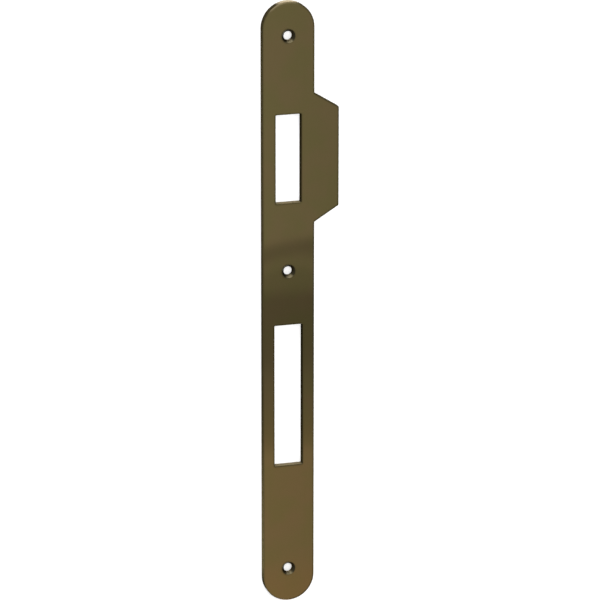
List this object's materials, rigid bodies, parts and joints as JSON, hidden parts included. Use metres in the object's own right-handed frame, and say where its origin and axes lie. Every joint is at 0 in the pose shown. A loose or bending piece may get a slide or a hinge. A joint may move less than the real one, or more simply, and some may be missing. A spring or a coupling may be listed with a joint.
{
  "type": "door strike plate",
  "caption": "Flat bronzed steel strike plate with rounded ends, a flat side lip beside the latch slot, a longer slot for the dead bolt and countersunk screw holes.",
  "frame": {"origin": "middle of the plate's length and width, on its back face", "axes": "+Z out of the front face that shows, +Y along the plate towards the latch end, +X towards the lip"},
  "size_m": [0.0295, 0.235, 0.003],
  "materials": {
    "bronzed_steel": "smooth dark bronze plating, satin to polished"
  },
  "bodies": {
    "root": {"strike_plate": "bronzed_steel"}
  },
  "joints": []
}
